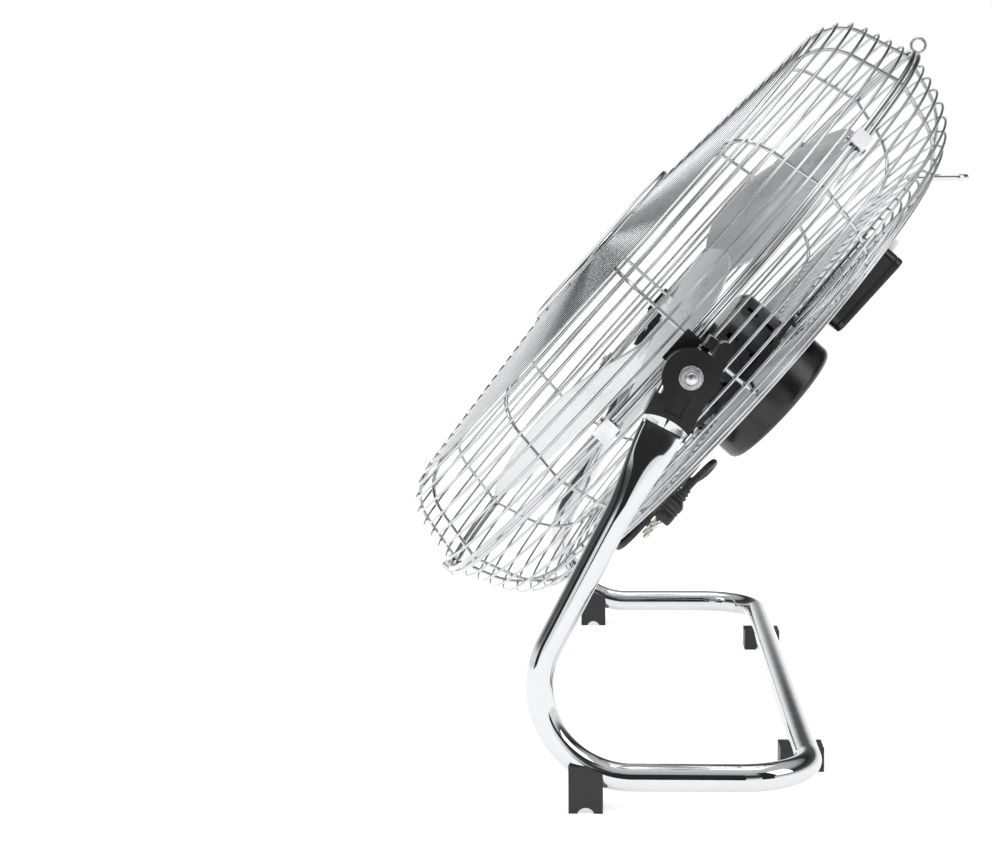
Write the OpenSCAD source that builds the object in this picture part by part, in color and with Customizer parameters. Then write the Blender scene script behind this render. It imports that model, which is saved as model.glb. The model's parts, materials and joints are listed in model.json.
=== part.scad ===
// Chrome floor fan: a wire-caged head that tilts between the arms of one bent tube stand.
// Millimetres, +Z up, front of the fan towards -Y, +X is the right-hand side in this file.
// The floor is z = 0 and x = 0 is the plane halfway between the arms.

/* [Head] */
// Upward tilt of the head in the rest pose, in degrees
tilt = 42; // [20:1:42]
// Radius of the seam where the front and rear grilles meet
cage_r = 271; // [266:1:271]
// Distance from the pivot axis forward to the seam plane
seam_ahead = 14.5; // [12:0.5:16]
// Distance from the pivot axis up to the fan axis
axis_up = 18; // [15:1:20]
// Number of radial ribs in each grille
rib_count = 12; // [8:2:16]
// Distance between neighbouring rings along the grille
ring_pitch = 9.9; // [9:0.1:14]
// Diameter of the ring wires
ring_wire = 2.2; // [2:0.1:2.6]
// Diameter of the rib wires
rib_wire = 3; // [2.6:0.1:3.4]

/* [Stand] */
// Height of the pivot axis above the floor
pivot_h = 292; // [285:1:300]
// Half the distance between the centrelines of the two arms
arm_x = 290; // [290:1:292]
// Diameter of the bent tube
tube_d = 19; // [18:0.5:20]
// Lean of the arms from vertical, in degrees
arm_lean = 27.5; // [26:0.5:29]
// Height of the centreline of the floor run
run_h = 21.5; // [20:0.5:23]
// Centreline radius of the front bends
bend_r = 62; // [58:1:66]
// Centreline radius of the rear corners
corner_r = 50; // [40:1:60]
// Distance from the pivot axis back to the rear crossbar
rear_back = 83; // [80:1:90]

/* [Fan] */
// Number of blades
blade_count = 3; // [3:1:3]
// Radius of the blade tips
blade_r = 232; // [200:1:236]
// Radius of the motor shells
motor_r = 50; // [48:1:52]

/* [Cord] */
// Diameter of the mains lead
cord_d = 5.6; // [5:0.1:5.8]

/* [Hidden] */
$fn = 48;

CHROME = [0.78, 0.79, 0.80];
BLACK = [0.07, 0.07, 0.08];
ALU = [0.83, 0.84, 0.85];

pivot_y = -5.6;         // puts the middle of the whole object over y = 0
gap = 0.1;              // clearance between pieces that touch without a press
tube_r = tube_d / 2;
tube_wall = 1.2;
weld = 0.35;            // how far two welded wires sink into each other

// front bend: its centre, found from the arm passing through the pivot
bend_z = run_h + bend_r;
bend_y = (bend_r + (bend_z - pivot_h) * sin(arm_lean)) / cos(arm_lean);
flare_low = -108;       // along the arm from the pivot
flare_high = -38;
tab_w = 30;
tab_t = 6.4;

// feet and the screws up into the tube
front_foot_y = -70;
rear_foot_x = 190;
foot_w = 24;
screw_r = 1.5;
sink_r = 4;             // sinking for the head of a foot screw
sink_h = 6;
front_screw = [arm_x, pivot_y + front_foot_y];
rear_screw = [rear_foot_x, pivot_y + rear_back];

// pivot hardware
stud_r = 4;
stud_bore_r = 4.05;
cover_in = 281;
cover_out = 302;
bracket_in = cage_r + 1.7;
bracket_t = 3;

// grille outline: a straight side, a round corner and a shallow cone to the hub ring
seam_wire = 4;
seam_off = 2.2;
ring_out = (ring_wire + rib_wire) / 2 - weld;
front_side = 40;
front_lean = 14;
front_corner_r = 34;
front_face = 85.5;
front_hub_r = 72;         // the ribs end under the rolled edge of the badge
rear_side = 30;
rear_lean = 18;
rear_corner_r = 52.5;
rear_face = 88;
rear_hub_r = 62;

// depths behind the seam plane
motor_front = 28;
motor_split = 50;
flange_front = 66;
flange_back = 70;
plate_front = 75;
plate_back = 82.4;
cover_back = 112;
box_back = 102;
lid_seam = 96;

// control box, heights above the fan axis
box_low = 73;
box_high = 147;
box_half = 32;
knob_depth = 86;

// mains lead, in head-axis coordinates: x, height above the axis, distance ahead of the seam
hank_run = 60;
hank_in_r = 16.8;
hank_pitch = 5.8;
hank_out_r = hank_in_r + hank_pitch;
hank_layers = 3;
hank_mid = -119.5;
hank_front = -75.6;
hank_thick = hank_pitch * (hank_layers - 1) + cord_d;
lead_route = [
    [-42, -71, -82.5], [-42, -76, -82.5], [-41.4, -81, -82], [-39.4, -86, -81],
    [-36.4, -91, -80], [-32.4, -96, -79.2], [-28.4, -101, -78.6], [-25.2, -106, -78.4],
    [-23.2, -111, -78.4], [-22.6, -117, -78.4]
];
plug_route = [
    [16.8, -107, -90.2], [16.8, -101, -90.8], [16.8, -95, -93.4], [16.8, -91, -96.4],
    [17.4, -86, -98.8], [19.4, -80, -99.8], [23.4, -74, -99.6], [29.4, -69.4, -98.6],
    [36.4, -67.2, -97.2], [43.4, -67.4, -95.8], [50.4, -70, -94.4], [56.4, -75, -93.2],
    [60.4, -81.4, -92.4], [61.8, -88, -92], [62, -94, -92]
];

// ---------- frames ----------

// origin on the pivot axis, x to the right, y back, z up the tilted head
module at_head() {
    translate([0, pivot_y, pivot_h])
        rotate([-tilt, 0, 0])
            children();
}

// x to the right, y up the head, z ahead of the seam plane along the fan axis
module on_axis() {
    at_head()
        translate([0, -seam_ahead, axis_up])
            rotate([90, 0, 0])
                children();
}

// x along the floor to the back, y up, z to the right, origin on the pivot axis
module side_view() {
    translate([0, pivot_y, 0])
        rotate([90, 0, 90])
            children();
}

// sketch plane of a pivot cover: x square to the arm, y up the arm, z to the right
module on_arm() {
    side_view()
        translate([0, pivot_h, 0])
            rotate([0, 0, -arm_lean])
                children();
}

module both_sides() {
    children();
    mirror([1, 0, 0])
        children();
}

module hex(across, h) {
    cylinder(r = across / sqrt(3), h = h, $fn = 6);
}

// the same outline in true arcs, for plates that carry holes
module round_plate(w, h, r, t) {
    union() {
        translate([-w / 2 + r, -h / 2, 0])
            cube([w - 2 * r, h, t]);
        translate([-w / 2, -h / 2 + r, 0])
            cube([w, h - 2 * r, t]);
        for (x = [-1, 1], y = [-1, 1])
            translate([x * (w / 2 - r), y * (h / 2 - r), 0])
                cylinder(r = r, h = t);
    }
}

// ---------- sweeping along a route ----------

function unit(v) = v / norm(v);

function arc(centre, u, v, r, from, to, n) =
    [for (i = [0:n]) let (a = from + (to - from) * i / n) centre + r * (cos(a) * u + sin(a) * v)];

// direction of the route at point i, halfway between the stretches before and after it
function heading(p, i) =
    unit(unit(p[min(i + 1, len(p) - 1)] - p[min(i, len(p) - 2)])
        + unit(p[max(i, 1)] - p[max(i - 1, 0)]));

// one ring of the tube, square to the route; ref is a direction that the route never takes
function tube_ring(p, i, r, sides, ref) =
    let (t = heading(p, i), u = unit(cross(t, ref)), v = cross(u, t))
    [for (k = [0:sides - 1]) p[i] + r * (cos(k * 360 / sides) * u + sin(k * 360 / sides) * v)];

function tube_points(p, r, sides, ref) =
    [for (i = [0:len(p) - 1]) each tube_ring(p, i, r, sides, ref)];

function tube_walls(n, sides, first, flip) = [
    for (i = [0:n - 2], k = [0:sides - 1])
        let (
            m = (k + 1) % sides,
            a = first + i * sides,
            quad = [a + k, a + m, a + sides + m, a + sides + k]
        )
        flip ? [quad[3], quad[2], quad[1], quad[0]] : quad
];

module tube(p, r, sides, ref) {
    n = len(p);
    low = [for (k = [0:sides - 1]) sides - 1 - k];
    high = [for (k = [0:sides - 1]) (n - 1) * sides + k];
    polyhedron(
        points = tube_points(p, r, sides, ref),
        faces = concat([low], tube_walls(n, sides, 0, false), [high])
    );
}

// a tube with a wall, open at both ends
module pipe_run(p, r_out, r_in, sides, ref) {
    n = len(p);
    inner = n * sides;
    top = (n - 1) * sides;
    ends = [
        for (k = [0:sides - 1])
            let (m = (k + 1) % sides)
            each [
                [m, k, inner + k, inner + m],
                [top + k, top + m, inner + top + m, inner + top + k]
            ]
    ];
    polyhedron(
        points = concat(tube_points(p, r_out, sides, ref), tube_points(p, r_in, sides, ref)),
        faces = concat(
            tube_walls(n, sides, 0, false),
            tube_walls(n, sides, inner, true),
            ends
        )
    );
}

// ---------- stand ----------

// centreline of the right half: arm, front bend, floor run and rear corner
arm_top = [
    arm_x,
    pivot_y + flare_low * sin(arm_lean),
    pivot_h + flare_low * cos(arm_lean)
];
half_path = concat(
    [arm_top],
    arc([arm_x, pivot_y + bend_y, bend_z], [0, 1, 0], [0, 0, 1], bend_r, 180 - arm_lean, 270, 11),
    arc([arm_x - corner_r, pivot_y + rear_back - corner_r, run_h],
        [1, 0, 0], [0, 1, 0], corner_r, 0, 90, 8)
);
stand_path = concat(
    half_path,
    [for (i = [len(half_path) - 1:-1:0]) [-half_path[i][0], half_path[i][1], half_path[i][2]]]
);

// the tube end pressed from round to flat, and the flat tab with the pivot hole
module tube_end() {
    slice = 0.2;
    on_arm()
        translate([0, 0, arm_x]) {
            hull() {
                translate([0, flare_low - 2, 0])
                    rotate([-90, 0, 0])
                        cylinder(r = tube_r - tube_wall / 2, h = slice, $fn = 32);
                for (x = [-1, 1])
                    translate([x * (tab_w - tab_t) / 2, flare_high, 0])
                        rotate([-90, 0, 0])
                            cylinder(d = tab_t, h = slice, $fn = 32);
            }
            difference() {
                translate([0, 0, -tab_t / 2])
                    union() {
                        translate([-tab_w / 2, flare_high + slice / 2, 0])
                            cube([tab_w, -flare_high - slice / 2, tab_t]);
                        cylinder(d = tab_w, h = tab_t);
                    }
                translate([0, 0, -tab_t])
                    cylinder(r = stud_bore_r, h = 2 * tab_t);
            }
        }
}

module stand_tube() {
    color(CHROME)
        union() {
            difference() {
                pipe_run(stand_path, tube_r, tube_r - tube_wall, 20, [1, 0, 1]);
                both_sides()
                    for (p = [front_screw, rear_screw])
                        translate([p[0], p[1], 0])
                            cylinder(r = screw_r + gap, h = run_h + 3);
            }
            both_sides()
                tube_end();
        }
}

module cover_outline() {
    head_r = 19;
    half = 16.5;
    cheek = 9;          // how far the straight left edge runs up past the bolt
    low = -35;
    finger_r = 5;
    difference() {
        union() {
            circle(r = head_r);
            translate([-half, low])
                square([2 * half, -low - 18]);
            translate([-12.5, -22])
                square([12.5 + half, 22]);
            translate([-half, -6])
                square([half, 6 + cheek]);
            translate([half - 2 * finger_r, -2])
                square([2 * finger_r, 28]);
            translate([half - finger_r, 26])
                circle(r = finger_r);
        }
        // hollowed lower edge
        translate([0, low - 34])
            circle(r = 38);
    }
}

module pivot_cover() {
    color(BLACK)
        on_arm()
            difference() {
                translate([0, 0, cover_in])
                    linear_extrude(height = cover_out - cover_in)
                        cover_outline();
                // pocket for the flattened tube end
                translate([-tab_w / 2 - gap, -60, arm_x - tab_t / 2 - gap])
                    cube([tab_w + 2 * gap, 60, tab_t + 2 * gap]);
                translate([0, 0, arm_x - tab_t / 2 - gap])
                    cylinder(r = tab_w / 2 + gap, h = tab_t + 2 * gap);
                // wide bore round the stud
                translate([0, 0, cover_in - 1])
                    cylinder(r = stud_r + 0.4, h = cover_out - cover_in + 2);
                // sunk panel below the bolt
                translate([-6, -27, cover_out - 2])
                    cube([12, 15, 3]);
            }
}

module pivot_cover_left() {
    mirror([1, 0, 0])
        pivot_cover();
}

module pivot_cover_right() {
    pivot_cover();
}

// what is cut from every foot: the arch between the pads, the screw hole and its sinking
module foot_cuts(p) {
    translate([p[0] - foot_w, p[1], -2])
        rotate([0, 90, 0])
            cylinder(r = 6, h = 2 * foot_w);
    translate([p[0], p[1], -1])
        cylinder(r = sink_r, h = sink_h + 1);
    translate([p[0], p[1], 0])
        cylinder(r = screw_r + gap, h = run_h);
}

// foot under the front bend: a block cut to the tube, standing on two pads
module front_foot() {
    foot_d = 23;
    foot_h = 32;
    color(BLACK)
        difference() {
            translate([arm_x - foot_w / 2, front_screw[1] - foot_d / 2, 0])
                cube([foot_w, foot_d, foot_h]);
            side_view()
                translate([bend_y, bend_z, arm_x])
                    rotate_extrude()
                        translate([bend_r, 0])
                            circle(r = tube_r + gap);
            // above the middle of the tube there is no foot
            side_view()
                translate([bend_y, bend_z, arm_x - foot_w])
                    cylinder(r = bend_r - 2, h = 2 * foot_w);
            foot_cuts(front_screw);
        }
}

module front_foot_left() {
    mirror([1, 0, 0])
        front_foot();
}

module front_foot_right() {
    front_foot();
}

module rear_foot() {
    foot_d = 31;
    foot_h = 17;        // up round the lower part of the tube
    color(BLACK)
        difference() {
            translate([rear_foot_x - foot_w / 2, rear_screw[1] - foot_d / 2, 0])
                cube([foot_w, foot_d, foot_h]);
            translate([rear_foot_x - foot_w, rear_screw[1], run_h])
                rotate([0, 90, 0])
                    cylinder(r = tube_r + gap, h = 2 * foot_w);
            foot_cuts(rear_screw);
        }
}

module rear_foot_left() {
    mirror([1, 0, 0])
        rear_foot();
}

module rear_foot_right() {
    rear_foot();
}

// one screw up through each foot into the tube, its head sunk in the arch
module foot_screws() {
    head_h = 1.8;
    color(CHROME)
        both_sides()
            for (p = [[front_screw, run_h + 3], [rear_screw, run_h - 4]])
                translate([p[0][0], p[0][1], sink_h - gap - head_h])
                    union() {
                        cylinder(r = sink_r - 0.5, h = head_h);
                        cylinder(r = screw_r, h = p[1] - sink_h + gap + head_h);
                    }
}

// ---------- grilles ----------

// The outline of each grille is a side leaning in from the seam, a round corner and a shallow
// cone down to the hub ring. The ribs start where their side just bites into the seam ring.
function rib_start(lean) =
    let (bite = (seam_wire + rib_wire) / 2 - weld)
    cage_r - (bite - seam_off * sin(lean)) / cos(lean);

function side_length(side, lean) = side / cos(lean);

function corner_length(lean, corner, face) = corner * (face - lean) * PI / 180;

function face_length(side, lean, corner, face, hub_r) =
    let (face_x = rib_start(lean) - side * tan(lean) - corner * (cos(lean) - cos(face)))
    (face_x - hub_r) / sin(face);

// distance s along the outline -> [radius, depth] of the point off the rib's centreline
function outline(s, side, lean, corner, face, off) =
    let (
        r0 = rib_start(lean),
        straight = side_length(side, lean),
        bend = corner_length(lean, corner, face),
        turn = lean + (s - straight) / corner * 180 / PI,
        centre_x = r0 - side * tan(lean) - corner * cos(lean),
        centre_z = side - corner * sin(lean),
        rest = s - straight - bend
    )
    s < straight
        ? [r0 - s * sin(lean) + off * cos(lean), s * cos(lean) + off * sin(lean)]
    : s < straight + bend
        ? [centre_x + (corner + off) * cos(turn), centre_z + (corner + off) * sin(turn)]
    : [
        centre_x + (corner + off) * cos(face) - rest * sin(face),
        centre_z + (corner + off) * sin(face) + rest * cos(face)
    ];

// even steps along a stretch of the outline, the last one on its far end
function spread(start, length) =
    let (n = round(length / ring_pitch))
    [for (i = [1:n]) start + length * i / n];

// the seam ring, and wires along the outside of the ribs down to the hub ring
module rings(side, lean, corner, face, hub_r) {
    wire_sides = 12;
    straight = side_length(side, lean);
    bend = corner_length(lean, corner, face);
    flat = face_length(side, lean, corner, face, hub_r) - rib_wire / 2;
    stops = concat(
        spread(0, straight), spread(straight, bend), spread(straight + bend, flat));
    translate([0, 0, seam_off])
        rotate_extrude()
            translate([cage_r, 0])
                circle(d = seam_wire, $fn = wire_sides);
    for (s = stops) {
        p = outline(s, side, lean, corner, face, ring_out);
        translate([0, 0, p[1]])
            rotate_extrude()
                translate([p[0], 0])
                    circle(d = ring_wire, $fn = wire_sides);
    }
}

module ribs(side, lean, corner, face, hub_r) {
    bend_steps = 8;
    start = 0.5;            // clear of the other grille's ribs at the seam
    straight = side_length(side, lean);
    bend = corner_length(lean, corner, face);
    flat = face_length(side, lean, corner, face, hub_r);
    stops = concat(
        [start],
        [for (i = [0:bend_steps]) straight + bend * i / bend_steps],
        [straight + bend + flat]
    );
    path = [for (s = stops) let (p = outline(s, side, lean, corner, face, 0)) [p[0], 0, p[1]]];
    for (i = [0:rib_count - 1])
        rotate([0, 0, 90 + i * 360 / rib_count])
            tube(path, rib_wire / 2, 8, [0, 1, 0]);
}

module front_rings() {
    color(CHROME)
        on_axis()
            rings(front_side, front_lean, front_corner_r, front_face, front_hub_r);
}

module front_ribs() {
    color(CHROME)
        on_axis()
            ribs(front_side, front_lean, front_corner_r, front_face, front_hub_r);
}

module rear_rings() {
    color(CHROME)
        on_axis()
            mirror([0, 0, 1])
                rings(rear_side, rear_lean, rear_corner_r, rear_face, rear_hub_r);
}

module rear_ribs() {
    color(CHROME)
        on_axis()
            mirror([0, 0, 1])
                ribs(rear_side, rear_lean, rear_corner_r, rear_face, rear_hub_r);
}

CLIP_ANGLES = [50, 108, 252, 310];
clip_t = 1.6;
clip_screw_in = 5.6;
reach = seam_off + seam_wire / 2 + 0.2;     // inner face of a clip's leg

// bent plates that hold the two seam rings together
module rim_clips() {
    clip_l = 16;
    leg_l = 9;
    color(ALU)
        on_axis()
            for (a = CLIP_ANGLES)
                rotate([0, 0, 90 - a])
                    difference() {
                        translate([cage_r - leg_l, -clip_l / 2, -reach - clip_t])
                            cube([leg_l + seam_wire / 2 + 0.2 + clip_t, clip_l,
                                2 * (reach + clip_t)]);
                        translate([cage_r - leg_l - 1, -clip_l / 2 - 1, -reach])
                            cube([leg_l + seam_wire / 2 + 1.2, clip_l + 2, 2 * reach]);
                        translate([cage_r - clip_screw_in, 0, -reach - clip_t - 1])
                            cylinder(r = screw_r + gap, h = 2 * (reach + clip_t + 1));
                    }
}

// one screw through the legs of each clip, inside the seam
module clip_screws() {
    face = reach + clip_t + gap;
    head_h = 2;
    color(CHROME)
        on_axis()
            for (a = CLIP_ANGLES)
                rotate([0, 0, 90 - a])
                    translate([cage_r - clip_screw_in, 0, 0])
                        union() {
                            translate([0, 0, face])
                                cylinder(r = 3, h = head_h);
                            translate([0, 0, -face - head_h])
                                cylinder(r = screw_r, h = 2 * face + 1.5 * head_h);
                            translate([0, 0, -face - head_h])
                                hex(5.5, head_h);
                        }
}

// wire loop over the top of the seam
module top_hook() {
    loop_r = 5.5;
    wire = 2.6;
    color(CHROME)
        on_axis()
            translate([0, cage_r + seam_wire / 2 + wire / 2 + 0.2 + loop_r, 0])
                rotate([0, 90, 0])
                    rotate_extrude()
                        translate([loop_r, 0])
                            circle(d = wire);
}

// folded catch under the bottom of the seam, with its thumb wire
module bottom_latch() {
    latch_w = 14;
    leg_h = 5;              // down past the seam rings but clear of the ribs
    low = -(cage_r + seam_wire / 2 + 0.2);
    color(CHROME)
        on_axis() {
            translate([-latch_w / 2, low - 1.6, -7])
                cube([latch_w, 1.6, 14]);
            translate([-latch_w / 2, low - 1.6, 5])
                cube([latch_w, leg_h, 1.6]);
            translate([-latch_w / 2, low - 1.6, -6.6])
                cube([latch_w, leg_h, 1.6]);
            translate([0, low - 4.4, -7])
                cylinder(r = 3, h = 14);
        }
}

// dished disc with a rolled edge in the middle of the front grille
module centre_badge() {
    badge_z = 80.8;
    rim = 80;
    color(CHROME)
        on_axis()
            translate([0, 0, badge_z])
                union() {
                    rotate_extrude()
                        polygon([[0, 5], [40, 4.6], [74, 2.6], [74, 1], [40, 3], [0, 3.4]]);
                    rotate_extrude()
                        translate([rim - 4.6, 1.6])
                            circle(r = 2.4);
                }
}

// ---------- pivots ----------

// side plate welded to the rings, with the tab that stops the tilt at the cover's finger
module pivot_bracket() {
    stop_at = 58 + tilt;
    boss_r = 14;
    arm_w = 13;
    sink = 0.3;
    stop_w = 6;
    stop_in = 21.5;
    stop_out = 29.5;
    stop_reach = cover_out - bracket_in - 8;
    color(BLACK)
        at_head()
            rotate([90, 0, 90])
                translate([0, 0, bracket_in])
                    difference() {
                        union() {
                            cylinder(r = boss_r, h = bracket_t);
                            // up to the seam rings, and pressed a little into them
                            translate([-seam_ahead - arm_w / 2, -4, -sink])
                                cube([arm_w, 4 + axis_up + 4, bracket_t]);
                            rotate([0, 0, stop_at]) {
                                translate([0, -stop_w / 2, sink])
                                    cube([stop_out, stop_w, bracket_t - 2 * sink]);
                                translate([stop_in, -stop_w / 2, sink])
                                    cube([stop_out - stop_in, stop_w, stop_reach]);
                            }
                        }
                        translate([0, 0, -1])
                            cylinder(r = stud_r + gap, h = bracket_t + 2);
                    }
}

module pivot_bracket_left() {
    mirror([1, 0, 0])
        pivot_bracket();
}

module pivot_bracket_right() {
    pivot_bracket();
}

module at_pivot(x) {
    translate([x, pivot_y, pivot_h])
        rotate([0, 90, 0])
            children();
}

// studs welded into the side plates; the arms turn on them
module pivot_studs() {
    color(CHROME)
        both_sides()
            at_pivot(bracket_in - 0.8)
                union() {
                    cylinder(r = stud_r, h = 312 - bracket_in);
                    cylinder(r = 6.5, h = 0.8);
                }
}

module pivot_spacers() {
    color(BLACK)
        both_sides()
            at_pivot(bracket_in + bracket_t)
                difference() {
                    cylinder(r = 9, h = cover_in - bracket_in - bracket_t - gap);
                    translate([0, 0, -1])
                        cylinder(r = stud_r + gap, h = 20);
                }
}

module pivot_washers() {
    color(CHROME)
        both_sides()
            at_pivot(cover_out + gap)
                difference() {
                    cylinder(r = 8, h = 1.6);
                    translate([0, 0, -1])
                        cylinder(r = stud_r + gap, h = 4);
                }
}

module pivot_nuts() {
    color(CHROME)
        both_sides()
            at_pivot(cover_out + gap + 1.6)
                difference() {
                    hex(12, 5.5);
                    translate([0, 0, -1])
                        cylinder(r = stud_r + gap, h = 8);
                }
}

// ---------- motor ----------

module ring_of(count, r) {
    for (i = [0:count - 1])
        rotate([0, 0, (i + 0.5) * 360 / count])
            translate([r, 0, 0])
                children();
}

module vent_slots(low, high) {
    slot_w = 4.5;
    ring_of(10, motor_r)
        translate([-6, -slot_w / 2, low])
            cube([12, slot_w, high - low]);
}

module motor_front_shell() {
    color(BLACK)
        on_axis()
            difference() {
                union() {
                    translate([0, 0, -motor_split])
                        cylinder(r = motor_r, h = motor_split - motor_front - 5);
                    translate([0, 0, -motor_front - 5])
                        cylinder(r1 = motor_r, r2 = motor_r - 5, h = 5);
                    translate([0, 0, -motor_front])
                        cylinder(r = 14, h = 6);
                }
                translate([0, 0, -motor_split - 1])
                    cylinder(r = motor_r - 3, h = motor_split - motor_front - 3);
                translate([0, 0, -motor_split - 1])
                    cylinder(r = 9, h = motor_split);
                vent_slots(-46, -36);
            }
}

module motor_rear_shell() {
    color(BLACK)
        on_axis()
            difference() {
                union() {
                    translate([0, 0, -flange_back])
                        cylinder(r = motor_r, h = flange_back - motor_split - gap);
                    translate([0, 0, -flange_back])
                        cylinder(r = 61, h = flange_back - flange_front);
                }
                translate([0, 0, -flange_back + 3])
                    cylinder(r = motor_r - 3, h = flange_back - motor_split);
                translate([0, 0, -flange_back - 1])
                    cylinder(r = 9, h = 20);
                ring_of(4, 56)
                    translate([0, 0, -flange_back - 1])
                        cylinder(r = 2.6, h = 10);
                vent_slots(-63, -54);
            }
}

// bolts that clamp the motor flange and the back plate to the rear grille
module motor_screws() {
    color(CHROME)
        on_axis()
            ring_of(4, 56) {
                translate([0, 0, -flange_front + gap])
                    hex(9, 4);
                translate([0, 0, -plate_back])
                    cylinder(r = 2.5, h = plate_back - flange_front + gap);
            }
}

module stator_core() {
    color([0.5, 0.5, 0.52])
        on_axis()
            translate([0, 0, -60])
                difference() {
                    cylinder(r = motor_r - 3.2, h = 20);
                    translate([0, 0, -1])
                        cylinder(r = 25, h = 22);
                }
}

module stator_windings() {
    color([0.72, 0.4, 0.2])
        on_axis()
            for (z = [-63.4, -36.6])
                translate([0, 0, z])
                    rotate_extrude()
                        translate([35, 0])
                            circle(r = 3.2);
}

module bearing(low) {
    color(ALU)
        on_axis()
            translate([0, 0, low])
                difference() {
                    cylinder(r = 8.9, h = 6);
                    translate([0, 0, -1])
                        cylinder(r = stud_bore_r, h = 8);
                }
}

module front_bearing() {
    bearing(-motor_front - 1);
}

module rear_bearing() {
    bearing(-flange_back);
}

// pressed plate behind the rear grille that carries the motor, its cover and the switch box
module back_plate() {
    plate_w = 92;
    color(BLACK)
        on_axis()
            difference() {
                union() {
                    translate([-plate_w / 2, -30, -plate_back])
                        cube([plate_w, box_low + 30 - gap, plate_back - plate_front]);
                    translate([0, 0, -plate_back])
                        cylinder(r = 62, h = plate_back - plate_front);
                }
                ring_of(4, 56)
                    translate([0, 0, -plate_back - 1])
                        cylinder(r = 2.6, h = 10);
                translate([0, 0, -plate_back - 1])
                    cylinder(r = 16, h = 10);
            }
}

// round dish over the back of the motor
module rear_cover() {
    cover_r = 57;
    edge = 7;
    wall = 2.5;
    color(BLACK)
        on_axis()
            mirror([0, 0, 1])
                translate([0, 0, plate_back + gap])
                    difference() {
                        rotate_extrude()
                            intersection() {
                                union() {
                                    square([cover_r - edge, cover_back - plate_back - gap]);
                                    square([cover_r, cover_back - plate_back - gap - edge]);
                                    translate([cover_r - edge, cover_back - plate_back - gap - edge])
                                        circle(r = edge);
                                }
                                square([cover_r, 40]);
                            }
                        translate([0, 0, -1])
                            cylinder(r = cover_r - wall, h = 17);
                        translate([0, 0, -1])
                            cylinder(r = cover_r - edge, h = 27);
                    }
}

module cover_screws() {
    color(CHROME)
        on_axis()
            ring_of(3, 34)
                translate([0, 0, -cover_back - 1.2])
                    cylinder(r = 3, h = 1.2 - gap);
}

module run_capacitor() {
    color(ALU)
        on_axis()
            translate([-20, 8, -plate_back - 14])
                rotate([0, 90, 0])
                    cylinder(r = 9, h = 40);
}

// ---------- switch box ----------

module control_box() {
    wall = 2.5;
    box_h = box_high - box_low;
    color(BLACK)
        on_axis()
            translate([0, box_low + box_h / 2, -lid_seam])
                difference() {
                    round_plate(2 * box_half, box_h, 8, lid_seam - plate_front);
                    translate([0, 0, -1])
                        round_plate(2 * box_half - 2 * wall, box_h - 2 * wall, 6,
                            lid_seam - plate_front - wall + 1);
                    // hole for the switch shaft in the top wall
                    translate([0, box_h / 2 + 1, lid_seam - knob_depth])
                        rotate([90, 0, 0])
                            cylinder(r = 3.4, h = wall + 2);
                    // wire inlet in the bottom wall
                    translate([0, -box_h / 2 + wall + 1, 12])
                        rotate([90, 0, 0])
                            cylinder(r = 4, h = wall + 2);
                }
}

module control_box_lid() {
    box_h = box_high - box_low;
    color(BLACK)
        on_axis()
            translate([0, box_low + box_h / 2, -box_back])
                difference() {
                    round_plate(2 * box_half, box_h, 8, box_back - lid_seam - gap);
                    for (x = [-1, 1], y = [-1, 1])
                        translate([x * 24, y * 29, -1])
                            cylinder(r = 3.2, h = 3.5);
                }
}

module box_screws() {
    box_h = box_high - box_low;
    color(CHROME)
        on_axis()
            translate([0, box_low + box_h / 2, -box_back + 0.6])
                for (x = [-1, 1], y = [-1, 1])
                    translate([x * 24, y * 29, 0])
                        cylinder(r = 3, h = 1.8);
}

module switch_body() {
    color(BLACK)
        on_axis()
            translate([-14, box_high - 2.6 - 22, -knob_depth - 8])
                difference() {
                    cube([28, 22, 16]);
                    translate([14, 8, 8])
                        rotate([-90, 0, 0])
                            cylinder(r = 3.05, h = 20);
                }
}

module knob_shaft() {
    color(ALU)
        on_axis()
            translate([0, box_high - 14, -knob_depth])
                rotate([-90, 0, 0])
                    cylinder(r = 3, h = 19);
}

module speed_knob() {
    knob_r = 8;
    knob_h = 10;
    color([0.9, 0.9, 0.9])
        on_axis()
            translate([0, box_high + 0.5, -knob_depth])
                rotate([-90, 0, 0])
                    difference() {
                        union() {
                            cylinder(r = knob_r, h = knob_h - 1.5);
                            translate([0, 0, knob_h - 1.5])
                                cylinder(r1 = knob_r, r2 = knob_r - 1.5, h = 1.5);
                        }
                        translate([0, 0, -1])
                            cylinder(r = 3, h = 5.5);
                        // pointer groove
                        translate([-0.7, 2, knob_h - 0.8])
                            cube([1.4, knob_r, 2]);
                    }
}

// wire bow to lift the fan by
module carry_handle() {
    wire = 5;
    half = 52;
    bow = 9;
    root = 6.5;
    foot = [208, -73.5];
    top = [224, -91.5];
    rise = sqrt(pow(top[0] - foot[0], 2) + pow(top[1] - foot[1], 2));
    color(CHROME)
        on_axis()
            translate([0, foot[0], foot[1]])
                rotate([atan2(top[1] - foot[1], top[0] - foot[0]), 0, 0])
                    union() {
                        for (s = [-1, 1]) {
                            // each leg runs down into a ring of the rear grille
                            translate([s * half, -root, 0])
                                rotate([-90, 0, 0])
                                    cylinder(d = wire, h = rise - bow + root);
                            translate([s * (half - bow), rise - bow, 0])
                                rotate([0, 0, s > 0 ? 0 : 90])
                                    rotate_extrude(angle = 90)
                                        translate([bow, 0])
                                            circle(d = wire);
                        }
                        translate([-half + bow, rise, 0])
                            rotate([0, 90, 0])
                                cylinder(d = wire, h = 2 * (half - bow));
                    }
}

// ---------- mains lead ----------

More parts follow.
